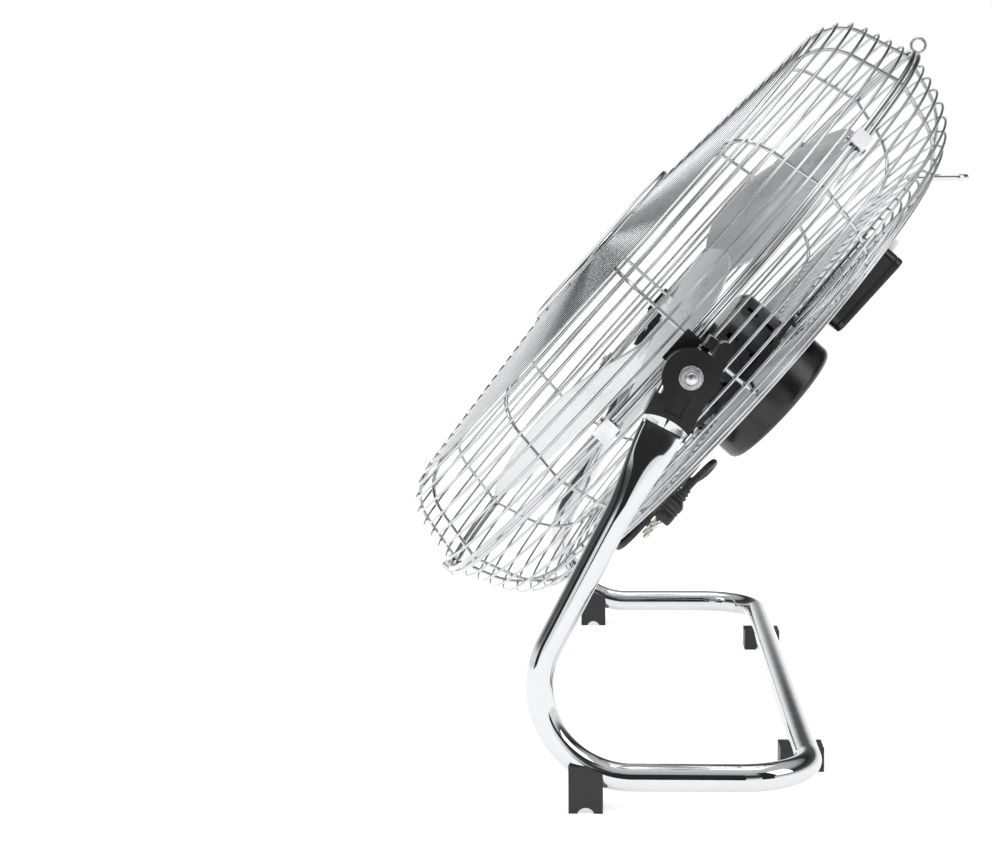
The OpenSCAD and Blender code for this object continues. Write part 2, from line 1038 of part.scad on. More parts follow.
// tapered strain relief below the back plate
module cord_gland() {
    color(BLACK)
        on_axis()
            translate([-42, -47, -82.5])
                rotate([90, 0, 0])
                    difference() {
                        cylinder(r1 = 5.2, r2 = 3.8, h = 24);
                        translate([0, 0, 24 - 2])
                            cylinder(r = cord_d / 2, h = 4);
                    }
}

module power_cord() {
    color(BLACK)
        on_axis()
            tube(lead_route, cord_d / 2, 10, [0, 0, 1]);
}

module plug_lead() {
    color(BLACK)
        on_axis()
            tube(plug_route, cord_d / 2, 10, [0, 0, 1]);
}

// outer shape of the tied hank, with channels where the two leads join its runs
module cord_hank() {
    outer = hank_out_r + cord_d / 2;
    color(BLACK)
        on_axis()
            translate([0, hank_mid, hank_front - hank_thick])
                difference() {
                    union() {
                        for (s = [-1, 1])
                            translate([0, s * hank_run / 2, 0])
                                cylinder(r = outer, h = hank_thick);
                        translate([-outer, -hank_run / 2, 0])
                            cube([2 * outer, hank_run, hank_thick]);
                    }
                    // the way in beside the first run
                    translate([-outer - 6, 2.5, hank_thick - cord_d - 5])
                        cube([18, 40, cord_d + 6]);
                    // the way out over the top of the last run
                    translate([hank_in_r - 4, 12.5, -1])
                        cube([8, 60, cord_d + 4.5]);
                }
}

module cord_tie() {
    tie_h = 5;
    tie_t = 1.2;
    outer = hank_out_r + cord_d / 2 + 0.2;
    color([0.2, 0.2, 0.2])
        on_axis()
            translate([0, hank_mid - 22, hank_front - hank_thick])
                difference() {
                    translate([-outer - tie_t, 0, -tie_t - 0.2])
                        cube([2 * (outer + tie_t), tie_h, hank_thick + 2 * tie_t]);
                    translate([-outer, -1, -0.2])
                        cube([2 * outer, tie_h + 2, hank_thick + 0.4]);
                }
}

// moulded two-pin plug, pins down, the lead entering at the top
module plug_body() {
    color(BLACK)
        on_axis()
            translate([62, -94, -92])
                rotate([90, 0, 0])
                    union() {
                        cylinder(r1 = 4, r2 = 6, h = 12);
                        translate([0, 0, 12])
                            cylinder(r1 = 10, r2 = 12, h = 3);
                        translate([-12, -8, 14])
                            cube([24, 16, 18]);
                    }
}

module plug_pins() {
    color(ALU)
        on_axis()
            translate([62, -126, -92])
                rotate([90, 0, 0])
                    for (x = [-9.5, 9.5])
                        translate([x, 0, 0])
                            cylinder(r = 2, h = 19);
}

// ---------- blades ----------

module motor_shaft() {
    color(ALU)
        on_axis()
            translate([0, 0, -flange_back - 2])
                cylinder(r = stud_r, h = flange_back + 2 + 15);
}

module rotor_core() {
    color([0.5, 0.5, 0.52])
        on_axis()
            translate([0, 0, -60])
                difference() {
                    cylinder(r = 24.4, h = 20);
                    translate([0, 0, -1])
                        cylinder(r = stud_r, h = 22);
                }
}

// centre boss with one riveting arm for each blade
module blade_hub() {
    arm_w = 24;
    arm_tip = 62;
    arm_t = 2.4;
    color(CHROME)
        on_axis()
            difference() {
                union() {
                    translate([0, 0, -14])
                        cylinder(r = 11, h = 22);
                    // the middle is a little thicker than the arms
                    translate([0, 0, -4.3])
                        cylinder(r = 26, h = arm_t + 0.6);
                    for (i = [0:blade_count - 1])
                        rotate([0, 0, blade_turn(i)])
                            translate([14, -arm_w / 2, -4])
                                cube([arm_tip - 14, arm_w, arm_t]);
                }
                translate([0, 0, -20])
                    cylinder(r = stud_r, h = 40);
            }
}

module hub_nut() {
    color(CHROME)
        on_axis()
            translate([0, 0, 8 + gap])
                difference() {
                    hex(13, 6);
                    translate([0, 0, -1])
                        cylinder(r = stud_r, h = 8);
                }
}

function blade_turn(i) = 100 + i * 360 / blade_count;

// the blade's outline in polar form: t runs from root to tip, s from -1 to 1 across
blade_root = 36;
function blade_radius(t) = blade_root + (blade_r - blade_root) * t;
function blade_half(t) = (11 + 21 * sin(180 * pow(t, 0.62))) * sqrt(1 - pow(t, 9)) + 3;
function blade_sweep(t) = 26 * t * t;
function blade_pitch(t) = (34 - 14 * t) * (1 - exp(-9 * (t + 0.02)));

function blade_point(t, s, lift) =
    let (
        r = blade_radius(t),
        a = blade_sweep(t) + blade_half(t) * s,
        across = r * blade_half(t) * s * PI / 180,
        camber = 5 * sin(180 * t) * (1 - s * s),
        z = across * tan(blade_pitch(t)) * 0.62 + camber
    )
    [r * cos(a), r * sin(a), z + lift];

module blade(i) {
    rows = 11;
    cols = 8;
    thick = 1.6;
    n = (rows + 1) * (cols + 1);
    grid = [
        for (lift = [thick, 0], a = [0:rows], b = [0:cols])
            blade_point(a / rows, 2 * b / cols - 1, lift)
    ];
    skin = [
        for (a = [0:rows - 1], b = [0:cols - 1])
            let (k = a * (cols + 1) + b)
            each [
                [k, k + 1, k + cols + 2],
                [k, k + cols + 2, k + cols + 1],
                [n + k, n + k + cols + 2, n + k + 1],
                [n + k, n + k + cols + 1, n + k + cols + 2]
            ]
    ];
    ends = [
        for (b = [0:cols - 1])
            let (k = b, m = rows * (cols + 1) + b)
            each [
                [k, n + k + 1, k + 1], [k, n + k, n + k + 1],
                [m, m + 1, n + m + 1], [m, n + m + 1, n + m]
            ]
    ];
    edges = [
        for (a = [0:rows - 1])
            let (k = a * (cols + 1), m = k + cols, w = cols + 1)
            each [
                [k, k + w, n + k + w], [k, n + k + w, n + k],
                [m, n + m + w, m + w], [m, n + m, n + m + w]
            ]
    ];
    color(ALU)
        on_axis()
            rotate([0, 0, blade_turn(i)])
                polyhedron(points = grid, faces = concat(skin, ends, edges));
}

module blade_1() {
    blade(0);
}

module blade_2() {
    blade(1);
}

module blade_3() {
    blade(2);
}

module blade_rivets() {
    color(CHROME)
        on_axis()
            for (i = [0:blade_count - 1])
                rotate([0, 0, blade_turn(i)])
                    for (p = [[42, -7], [42, 7], [54, 0]])
                        translate([p[0], p[1], -4 - 1.8])
                            cylinder(r = 2.6, h = 1.8);
}

stand_tube();
pivot_cover_left();
pivot_cover_right();
front_foot_left();
front_foot_right();
rear_foot_left();
rear_foot_right();
foot_screws();
front_rings();
front_ribs();
rear_rings();
rear_ribs();
rim_clips();
clip_screws();
top_hook();
bottom_latch();
centre_badge();
pivot_bracket_left();
pivot_bracket_right();
pivot_studs();
pivot_spacers();
pivot_washers();
pivot_nuts();
motor_front_shell();
motor_rear_shell();
motor_screws();
stator_core();
stator_windings();
front_bearing();
rear_bearing();
back_plate();
rear_cover();
cover_screws();
run_capacitor();
control_box();
control_box_lid();
box_screws();
switch_body();
carry_handle();
cord_gland();
power_cord();
cord_hank();
plug_lead();
cord_tie();
plug_body();
plug_pins();
motor_shaft();
rotor_core();
blade_hub();
hub_nut();
blade_rivets();
blade_1();
blade_2();
blade_3();
speed_knob();
knob_shaft();
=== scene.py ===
import json
import math

import bmesh
import bpy
from mathutils import Matrix, Vector

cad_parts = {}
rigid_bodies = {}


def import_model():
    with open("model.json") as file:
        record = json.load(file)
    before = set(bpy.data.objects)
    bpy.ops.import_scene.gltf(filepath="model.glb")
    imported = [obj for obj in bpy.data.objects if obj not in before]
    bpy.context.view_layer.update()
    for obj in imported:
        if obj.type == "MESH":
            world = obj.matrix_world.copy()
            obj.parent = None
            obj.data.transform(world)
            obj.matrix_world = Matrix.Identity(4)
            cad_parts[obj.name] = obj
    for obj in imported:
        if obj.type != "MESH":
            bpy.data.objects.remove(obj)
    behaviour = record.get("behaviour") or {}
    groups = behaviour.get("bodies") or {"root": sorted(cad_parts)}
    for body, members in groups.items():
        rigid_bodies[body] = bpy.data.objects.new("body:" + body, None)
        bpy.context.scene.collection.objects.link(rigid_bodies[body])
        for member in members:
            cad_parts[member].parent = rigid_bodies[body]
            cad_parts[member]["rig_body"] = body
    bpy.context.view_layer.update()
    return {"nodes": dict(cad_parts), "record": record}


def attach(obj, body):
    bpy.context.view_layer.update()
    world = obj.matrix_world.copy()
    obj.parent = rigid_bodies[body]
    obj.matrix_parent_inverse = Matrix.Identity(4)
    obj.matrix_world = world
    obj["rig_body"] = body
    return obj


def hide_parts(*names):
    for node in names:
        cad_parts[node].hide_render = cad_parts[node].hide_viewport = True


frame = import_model()
NODES = frame["nodes"]
scene = bpy.context.scene

# ---------- frames, as in the part's source ----------
TILT = math.radians(42)
PIVOT = Vector((0, -0.0056, 0.292))
PIVOT_Y, PIVOT_H = -5.6, 292        # the same place in mm
ABOUT_AXIS = Matrix(((1, 0, 0, 0), (0, 0, -1, 0), (0, 1, 0, 0), (0, 0, 0, 1)))
HEAD = (Matrix.Translation(PIVOT) @ Matrix.Rotation(-TILT, 4, "X")
        @ Matrix.Translation((0, -0.0145, 0.018)) @ ABOUT_AXIS)
LEAN = math.radians(27.5)           # of the stand's arms
QUARTER_X = Matrix.Rotation(math.pi / 2, 4, "X")
BEHIND = HEAD @ Matrix.Scale(-1, 4, (0, 0, 1))      # the same axes, with heights counted backwards


def head(p):
    """x, height above the fan axis and distance ahead of the seam, in mm, to the part's frame in m."""
    return HEAD @ (Vector(p) / 1000)


# ---------- camera ----------
cam = bpy.data.cameras.new("camera")
cam.lens, cam.sensor_width = 72.0, 36.0
camera = bpy.data.objects.new("camera", cam)
scene.collection.objects.link(camera)
look = Vector((-0.99150, -0.05843, -0.11628)).normalized()
right = look.cross(Vector((0, 0, 1))).normalized()
up = right.cross(look)
roll = math.radians(-0.63)
right, up = (math.cos(roll) * right + math.sin(roll) * up,
             math.cos(roll) * up - math.sin(roll) * right)
turn = Matrix((right, up, -look)).transposed().to_4x4()
camera.matrix_world = Matrix.Translation((1.5889, -0.0569, 0.4130)) @ turn
scene.camera = camera


# ---------- mesh helpers ----------
def piece(name, verts, faces, body, mat, smooth=True, matrix=None):
    mesh = bpy.data.meshes.new(name)
    mesh.from_pydata([tuple(v) for v in verts], [], faces)
    if matrix is not None:
        mesh.transform(matrix)
    bm = bmesh.new()
    bm.from_mesh(mesh)
    bmesh.ops.remove_doubles(bm, verts=bm.verts, dist=1e-6)
    bmesh.ops.recalc_face_normals(bm, faces=bm.faces)
    bm.to_mesh(mesh)
    bm.free()
    for f in mesh.polygons:
        f.use_smooth = smooth
    mesh.materials.append(mat)
    obj = bpy.data.objects.new(name, mesh)
    scene.collection.objects.link(obj)
    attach(obj, body)
    return obj


def frames(path, start, closed=False):
    """A frame along the path that turns no more than it has to."""
    n = len(path)
    heads = []
    for i in range(n):
        a = path[(i - 1) % n] if closed else path[max(i - 1, 0)]
        b = path[(i + 1) % n] if closed else path[min(i + 1, n - 1)]
        heads.append((b - a).normalized())
    u = (start - heads[0] * start.dot(heads[0])).normalized()
    out = []
    for t in heads:
        u = (u - t * u.dot(t)).normalized()
        out.append((u, t.cross(u), t))
    return out


def sweep(path, section, start, sides, closed=False):
    """section(i, angle) gives a point of the cross-section in its own plane."""
    verts, faces, n = [], [], len(path)
    for i, (u, v, _) in enumerate(frames(path, start, closed)):
        for k in range(sides):
            a, b = section(i, 2 * math.pi * k / sides)
            verts.append(path[i] + u * a + v * b)
    for i in range(n if closed else n - 1):
        for k in range(sides):
            m, j = (k + 1) % sides, (i + 1) % n
            faces.append((i * sides + k, i * sides + m, j * sides + m, j * sides + k))
    if not closed:
        faces.append(tuple(range(sides - 1, -1, -1)))
        faces.append(tuple((n - 1) * sides + k for k in range(sides)))
    return verts, faces


def wire(path, r, start=Vector((0, 0, 1)), sides=10, closed=False):
    return sweep(path, lambda i, a: (r * math.cos(a), r * math.sin(a)), start, sides, closed)


def torus(big, r, height, turns=180, sides=8):
    path = [Vector((big * math.cos(a), big * math.sin(a), height))
            for a in (2 * math.pi * i / turns for i in range(turns))]
    return wire(path, r, sides=sides, closed=True)


def join(parts):
    verts, faces = [], []
    for v, f in parts:
        base = len(verts)
        verts += [tuple(p) for p in v]
        faces += [tuple(base + k for k in face) for face in f]
    return verts, faces


def lathe(profile, turns=96, ripple=None):
    """profile is (radius, height) from one end to the other; ripple(angle, i) scales the radius."""
    verts, faces, n = [], [], len(profile)
    for k in range(turns):
        a = 2 * math.pi * k / turns
        for i, (r, z) in enumerate(profile):
            s = ripple(a, i) if ripple else 1
            verts.append((r * s * math.cos(a), r * s * math.sin(a), z))
    for k in range(turns):
        m = (k + 1) % turns
        for i in range(n - 1):
            faces.append((k * n + i, m * n + i, m * n + i + 1, k * n + i + 1))
    return verts, faces


def rounded(points, r, steps=6):
    """A profile whose inner corners are rounded off; r is one radius or one for each corner."""
    pts = [Vector((p[0], p[1])) for p in points]
    out = [pts[0]]
    for i in range(1, len(pts) - 1):
        ri = r[i - 1] if isinstance(r, (list, tuple)) else r
        a, b, c = pts[i - 1], pts[i], pts[i + 1]
        u, v = (a - b), (c - b)
        cut = min(ri, u.length * 0.49, v.length * 0.49)
        p, q = b + u.normalized() * cut, b + v.normalized() * cut
        for k in range(steps + 1):
            t = k / steps
            out.append(p * (1 - t) ** 2 + b * (2 * t * (1 - t)) + q * t * t)
    out.append(pts[-1])
    return [(p.x, p.y) for p in out]


def mm(profile):
    return [(a / 1000, b / 1000) for a, b in profile]


SLOT_OF = {s["node"]: s["material_slot"] for s in frame["record"]["subparts"]}


def stands_for(obj, *nodes):
    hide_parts(*nodes)
    return obj


def refined(node, mat, bevel=0.0006, segments=3, name=None, angle=32):
    """A copy of a CAD node whose edges are rounded off, as the real moulding's or pressing's are."""
    source = NODES[node]
    mesh = source.data.copy()
    mesh.materials.clear()
    mesh.materials.append(mat)
    bm = bmesh.new()
    bm.from_mesh(mesh)
    bmesh.ops.remove_doubles(bm, verts=bm.verts, dist=2e-6)
    bmesh.ops.dissolve_limit(bm, angle_limit=math.radians(2), verts=bm.verts, edges=bm.edges)
    bm.to_mesh(mesh)
    bm.free()
    obj = bpy.data.objects.new(name or "fine_" + node, mesh)
    scene.collection.objects.link(obj)
    for f in mesh.polygons:
        f.use_smooth = True
    if bevel:
        mod = obj.modifiers.new("round", "BEVEL")
        mod.width, mod.segments, mod.limit_method = bevel, segments, "ANGLE"
        mod.angle_limit = math.radians(angle)
        mod.harden_normals = False
        mod.miter_outer = "MITER_ARC"
    flat = obj.modifiers.new("normals", "WEIGHTED_NORMAL")
    flat.keep_sharp = False
    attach(obj, source["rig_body"])
    return stands_for(obj, node)


# ---------- materials ----------
MIX_A, MIX_B, MIX_OUT = 6, 7, 2     # a mix node's colour sockets
NOISE_LOW, NOISE_HIGH = 0.3, 0.7    # where most of a noise texture's values lie
FINE_SHARE = 0.35                   # how much of the roughness follows the fine grain
WAVE_SCALE, WAVE_DEPTH = 55, 0.001  # the long ripple of a plated surface


def finish_mat(name, color, metal=0.0, rough=0.4, spread=0.08, tint=0.12, patch=30.0, grain=900.0,
               bump=0.15, depth=0.0002, stretch=(1, 1, 1), coat=0.0, wave=0.0, smudge=0.0):
    """Colour patches, a roughness that wanders, and a fine grain, all in the piece's own space."""
    m = bpy.data.materials.new(name)
    m.use_nodes = True
    nt = m.node_tree
    bsdf = nt.nodes["Principled BSDF"]
    bsdf.inputs["Metallic"].default_value = metal
    if coat:
        bsdf.inputs["Coat Weight"].default_value = coat
        bsdf.inputs["Coat Roughness"].default_value = 0.12
    coord = nt.nodes.new("ShaderNodeTexCoord")
    scale = nt.nodes.new("ShaderNodeMapping")
    scale.inputs["Scale"].default_value = stretch
    nt.links.new(coord.outputs["Object"], scale.inputs["Vector"])

    def noise(s, detail, source):
        n = nt.nodes.new("ShaderNodeTexNoise")
        n.inputs["Scale"].default_value = s
        n.inputs["Detail"].default_value = detail
        n.inputs["Roughness"].default_value = 0.55
        nt.links.new(source, n.inputs["Vector"])
        return n.outputs["Fac"]

    def ranged(value, lo, hi):
        r = nt.nodes.new("ShaderNodeMapRange")
        r.inputs["From Min"].default_value = NOISE_LOW
        r.inputs["From Max"].default_value = NOISE_HIGH
        r.inputs["To Min"].default_value = lo
        r.inputs["To Max"].default_value = hi
        nt.links.new(value, r.inputs["Value"])
        return r.outputs["Result"]

    coarse = noise(patch, 4, coord.outputs["Object"])
    fine = noise(grain, 3, scale.outputs["Vector"])
    mix = nt.nodes.new("ShaderNodeMix")
    mix.data_type = "RGBA"
    mix.inputs[MIX_A].default_value = (*[c * (1 - tint) for c in color], 1)
    mix.inputs[MIX_B].default_value = (*[min(1, c * (1 + tint)) for c in color], 1)
    nt.links.new(ranged(coarse, 0, 1), mix.inputs[0])
    nt.links.new(mix.outputs[MIX_OUT], bsdf.inputs["Base Color"])
    both = nt.nodes.new("ShaderNodeMath")
    both.operation = "MULTIPLY_ADD"
    both.inputs[1].default_value = FINE_SHARE
    nt.links.new(ranged(fine, -spread, spread), both.inputs[0])
    nt.links.new(ranged(coarse, max(0.01, rough - spread), rough + spread + smudge), both.inputs[2])
    nt.links.new(both.outputs[0], bsdf.inputs["Roughness"])
    b = nt.nodes.new("ShaderNodeBump")
    b.inputs["Strength"].default_value = bump
    b.inputs["Distance"].default_value = depth
    nt.links.new(fine, b.inputs["Height"])
    if wave:
        long = nt.nodes.new("ShaderNodeBump")
        long.inputs["Strength"].default_value = wave
        long.inputs["Distance"].default_value = WAVE_DEPTH
        nt.links.new(noise(WAVE_SCALE, 1, coord.outputs["Object"]), long.inputs["Height"])
        nt.links.new(long.outputs["Normal"], b.inputs["Normal"])
    nt.links.new(b.outputs["Normal"], bsdf.inputs["Normal"])
    return m


CHROME = finish_mat("chrome_plate", (0.66, 0.67, 0.685), metal=1, rough=0.045, spread=0.02, tint=0.03,
                    patch=14, grain=600, bump=0.008, depth=0.00003, wave=0.05, smudge=0.03)
DISC = finish_mat("chrome_disc", (0.66, 0.67, 0.685), metal=1, rough=0.14, spread=0.03, tint=0.03,
                  patch=14, grain=600, bump=0.004, depth=0.00002, smudge=0.03)
WIRE = finish_mat("chrome_wire", (0.56, 0.57, 0.585), metal=1, rough=0.12, spread=0.05, tint=0.10,
                  patch=60, grain=1400, bump=0.05, depth=0.00008)
ZINC = finish_mat("bright_zinc", (0.66, 0.66, 0.68), metal=1, rough=0.26, spread=0.08, tint=0.12,
                  patch=120, grain=1800, bump=0.12, depth=0.00008)
ALU = finish_mat("rolled_aluminium", (0.84, 0.845, 0.86), metal=0.65, rough=0.33, spread=0.08, tint=0.05,
                 patch=18, grain=500, bump=0.10, depth=0.00012, stretch=(1, 9, 1))
MOULDED = finish_mat("moulded_black", (0.010, 0.010, 0.011), rough=0.24, spread=0.06, tint=0.25,
                     patch=35, grain=1500, bump=0.08, depth=0.00008)
ENAMEL = finish_mat("black_enamel", (0.009, 0.009, 0.010), rough=0.24, spread=0.06, tint=0.2,
                    patch=45, grain=700, bump=0.10, depth=0.00015, coat=0.3)
FOOT = finish_mat("foot_plastic", (0.016, 0.016, 0.018), rough=0.42, spread=0.08, tint=0.3,
                  patch=60, grain=1200, bump=0.25, depth=0.0002)
SHEATH = finish_mat("lead_sheath", (0.016, 0.016, 0.017), rough=0.46, spread=0.07, tint=0.25,
                    patch=90, grain=900, bump=0.12, depth=0.00015)
PLUG = finish_mat("plug_moulding", (0.020, 0.020, 0.022), rough=0.34, spread=0.06, tint=0.2,
                  patch=70, grain=1300, bump=0.12, depth=0.00012)
KNOB = finish_mat("knob_moulding", (0.80, 0.80, 0.79), rough=0.30, spread=0.06, tint=0.04,
                  patch=80, grain=1000, bump=0.08, depth=0.0001)
NICKEL = finish_mat("nickelled_brass", (0.74, 0.72, 0.66), metal=1, rough=0.22, spread=0.06, tint=0.08,
                    patch=150, grain=1500, bump=0.06, depth=0.00006)
CORE = finish_mat("laminations", (0.12, 0.12, 0.13), metal=1, rough=0.45, spread=0.1, tint=0.2,
                  patch=70, grain=900, bump=0.3, depth=0.0003, stretch=(1, 1, 12))
COPPER = finish_mat("winding_wire", (0.55, 0.24, 0.09), metal=1, rough=0.35, spread=0.1, tint=0.25,
                    patch=90, grain=1100, bump=0.4, depth=0.0004)

BY_SLOT = {"chrome": CHROME, "black_plastic": MOULDED, "black_metal": ENAMEL, "aluminium": ALU,
           "zinc_steel": ZINC, "core_steel": CORE, "copper": COPPER, "cord_rubber": SHEATH,
           "tie_plastic": MOULDED, "knob_plastic": KNOB, "plug_plastic": PLUG, "plug_brass": NICKEL}
for node, obj in NODES.items():
    obj.data.materials.clear()
    obj.data.materials.append(BY_SLOT[SLOT_OF[node]])


# ---------- mains lead: in, round the tied hank, and out to the plug ----------
CORD_D = 5.6
HANK_MID, HANK_HALF = -119.5, 30.0
LEAD_IN = [(-42, -71, -82.5), (-42, -76, -82.5), (-41.4, -81, -82), (-39.4, -86, -81),
           (-36.4, -91, -80), (-32.4, -96, -79.2), (-28.4, -101, -78.6), (-25.2, -106, -78.4),
           (-23.2, -111, -78.4), (-22.6, -117, -78.4)]
PLUG_AT, PIN_AT = (0.062, -0.094, -0.092), (0.062, -0.126, -0.092)
PIN_APART = 0.0095                  # each pin's distance from the plug's middle
TO_PLUG = [(16.8, -107, -90.2), (16.8, -101, -90.8), (16.8, -95, -93.4), (16.8, -91, -96.4),
           (17.4, -86, -98.8), (19.4, -80, -99.8), (23.4, -74, -99.6), (29.4, -69.4, -98.6),
           (36.4, -67.2, -97.2), (43.4, -67.4, -95.8), (50.4, -70, -94.4), (56.4, -75, -93.2),
           (60.4, -81.4, -92.4), (61.8, -88, -92), (62, -94, -92)]
# half width of each turn of the hank, and its distance from the seam
LANES = [(22.6, -78.4), (16.8, -78.4), (16.8, -84.2), (22.6, -84.2), (22.6, -90.0), (16.8, -90.0)]


def hank_points():
    """Down the left side, round the bottom, up the right side and round the top, lane by lane."""
    low, high = HANK_MID - HANK_HALF, HANK_MID + HANK_HALF
    out = []
    for i, (r, z) in enumerate(LANES):
        nr, nz = LANES[min(i + 1, len(LANES) - 1)]
        for y in ((-124, -134, -144) if i == 0 else (-94, -104, -114, -124, -134, -144)):
            out.append((-r, y, z))
        for k in range(0, 13):
            a = math.pi + math.pi * k / 12
            out.append((r * math.cos(a), low + r * math.sin(a), z))
        last = i == len(LANES) - 1
        for y in ((-140, -130, -120, -113) if last else (-140, -130, -120, -110, -100)):
            out.append((r, y, z))
        if last:
            break
        for k in range(0, 13):
            a = math.pi * k / 12
            s = max(0.0, (k - 3) / 9)
            s = s * s * (3 - 2 * s)
            rr = r + (nr - r) * s
            out.append((rr * math.cos(a), high + rr * math.sin(a), z + (nz - z) * s))
    return out


def smooth_route(points, steps):
    p = [Vector(q) for q in points]
    p = [2 * p[0] - p[1]] + p + [2 * p[-1] - p[-2]]
    out = []
    for i in range(1, len(p) - 2):
        for k in range(steps):
            t = k / steps
            out.append(0.5 * ((2 * p[i]) + (p[i + 1] - p[i - 1]) * t
                              + (2 * p[i - 1] - 5 * p[i] + 4 * p[i + 1] - p[i + 2]) * t * t
                              + (3 * p[i] - p[i - 1] - 3 * p[i + 1] + p[i + 2]) * t ** 3))
    return out + [p[-2]]


route = smooth_route(LEAD_IN + hank_points() + TO_PLUG, 4)
line = bpy.data.curves.new("mains_lead", "CURVE")
line.dimensions = "3D"
line.bevel_depth = CORD_D / 2000
line.bevel_resolution = 4
line.use_fill_caps = True
spline = line.splines.new("POLY")
spline.points.add(len(route) - 1)
for point, p in zip(spline.points, route):
    point.co = (*head(p), 1)
spline.use_smooth = True
line.materials.append(SHEATH)
lead = bpy.data.objects.new("mains_lead", line)
scene.collection.objects.link(lead)
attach(lead, "head")
stands_for(lead, "power_cord", "cord_hank", "plug_lead")

gland_profile = [(0, 0.5), (5.2, 0.5), (5.2, 4)]
for k in range(6):
    z, r = 5.2 + k * 2.9, 5.1 - k * 0.22
    gland_profile += [(r - 0.7, z), (r - 0.7, z + 0.9), (r, z + 1.1), (r, z + 2.6)]
gland_profile += [(3.6, 23.2), (3.3, 23.9), (2.85, 23.9), (2.85, 20), (0, 20)]
gland = piece("strain_relief", *lathe(mm(rounded(gland_profile, 0.35, 3)), 40), "head", SHEATH,
              matrix=HEAD @ Matrix.Translation((-0.042, -0.047, -0.0825)) @ QUARTER_X)
stands_for(gland, "cord_gland")

strap = refined("cord_tie", MOULDED, 0.0004, 2, "hank_tie")


def superellipse(a, half_w, half_h, power):
    c, s = math.cos(a), math.sin(a)
    return (half_w * math.copysign(abs(c) ** (2 / power), c),
            half_h * math.copysign(abs(s) ** (2 / power), s))


plug_sections = [  # distance below the top of the neck, half width, half depth, squareness
    (0.0, 3.0, 3.0, 2), (0.3, 3.9, 3.9, 2), (2.2, 4.0, 4.0, 2), (2.6, 3.5, 3.5, 2), (3.4, 3.5, 3.5, 2),
    (3.8, 4.6, 4.6, 2), (5.4, 4.8, 4.8, 2), (5.8, 4.0, 4.0, 2), (6.6, 4.0, 4.0, 2), (7.0, 5.3, 5.3, 2),
    (8.8, 5.6, 5.6, 2.2), (9.2, 4.9, 4.9, 2.2), (10.2, 5.0, 5.0, 2.3), (11.2, 6.4, 6.0, 2.6),
    (12.6, 9.3, 7.2, 3.2), (14.0, 11.4, 7.9, 4), (16.0, 11.9, 7.95, 5), (18.4, 11.9, 7.95, 5),
    (18.9, 11.3, 7.4, 5), (19.9, 11.3, 7.4, 5), (20.4, 11.9, 7.95, 5), (21.6, 11.9, 7.95, 5),
    (22.1, 11.3, 7.4, 5), (23.1, 11.3, 7.4, 5), (23.6, 11.9, 7.95, 5), (28.0, 11.9, 7.95, 5),
    (31.0, 11.8, 7.9, 5), (31.8, 11.2, 7.3, 5), (32.0, 10.2, 6.4, 5)]
verts, faces = sweep([Vector((0, 0, s[0] / 1000)) for s in plug_sections],
                     lambda i, a: tuple(c / 1000 for c in superellipse(a, *plug_sections[i][1:])),
                     Vector((1, 0, 0)), 48)
plug = piece("plug_moulding", verts, faces, "head", PLUG,
             matrix=HEAD @ Matrix.Translation(PLUG_AT) @ QUARTER_X)
stands_for(plug, "plug_body")
pin = [(0, -0.5), (1.95, -0.5), (1.95, 8.0), (1.7, 8.3), (1.7, 8.6), (2.0, 8.9), (2.0, 17.6), (1.5, 18.6),
       (0.8, 19.0), (0, 19.0)]
pin_parts = []
for s in (-1, 1):
    v, f = lathe(mm(pin), 24)
    pin_parts.append(([(p[0] + s * PIN_APART, p[1], p[2]) for p in v], f))
pins = piece("plug_contacts", *join(pin_parts), "head", NICKEL,
             matrix=HEAD @ Matrix.Translation(PIN_AT) @ QUARTER_X)
stands_for(pins, "plug_pins")

# ---------- stand: one tube, its ends pressed flat under the covers ----------
TUBE_R, ARM_X, RUN_H, BEND_R, CORNER_R, REAR = 9.5, 290.0, 21.5, 62.0, 50.0, 83.0
# the pressed stretch, measured along the arm from the bolt, its flat end and the bolt's hole
FLARE_LOW, FLARE_HIGH, TAB_W, TAB_T, BORE_R = -108, -38, 30.0, 6.4, 4.05
PRESSED = 28                        # rings along the pressed stretch
BEND_Z = RUN_H + BEND_R
BEND_Y = (BEND_R + (BEND_Z - PIVOT_H) * math.sin(LEAN)) / math.cos(LEAN)
path, flat = [], []
for k in range(PRESSED):
    t = k / (PRESSED - 1)
    s = FLARE_HIGH + (FLARE_LOW - FLARE_HIGH) * t
    path.append(Vector((ARM_X, s * math.sin(LEAN), PIVOT_H + s * math.cos(LEAN))))
    flat.append(1 - t * t * (3 - 2 * t))
a0 = math.pi - LEAN
arm_end = Vector((ARM_X, BEND_Y + BEND_R * math.cos(a0), BEND_Z + BEND_R * math.sin(a0)))
for k in range(1, 12):
    path.append(path[PRESSED - 1].lerp(arm_end, k / 12))
for k in range(49):
    a = a0 + (1.5 * math.pi - a0) * k / 48
    path.append(Vector((ARM_X, BEND_Y + BEND_R * math.cos(a), BEND_Z + BEND_R * math.sin(a))))
for k in range(1, 10):
    path.append(Vector((ARM_X, BEND_Y + (REAR - CORNER_R - BEND_Y) * k / 10, RUN_H)))
for k in range(33):
    a = 0.5 * math.pi * k / 32
    path.append(Vector((ARM_X - CORNER_R + CORNER_R * math.cos(a),
                        REAR - CORNER_R + CORNER_R * math.sin(a), RUN_H)))
for k in range(1, 13):
    path.append(Vector(((ARM_X - CORNER_R) * (1 - k / 12), REAR, RUN_H)))
path += [Vector((-p.x, p.y, p.z)) for p in reversed(path[:-1])]
flat += [0.0] * (len(path) - 2 * len(flat)) + flat[::-1]
path = [Vector((p.x, p.y + PIVOT_Y, p.z)) / 1000 for p in path]


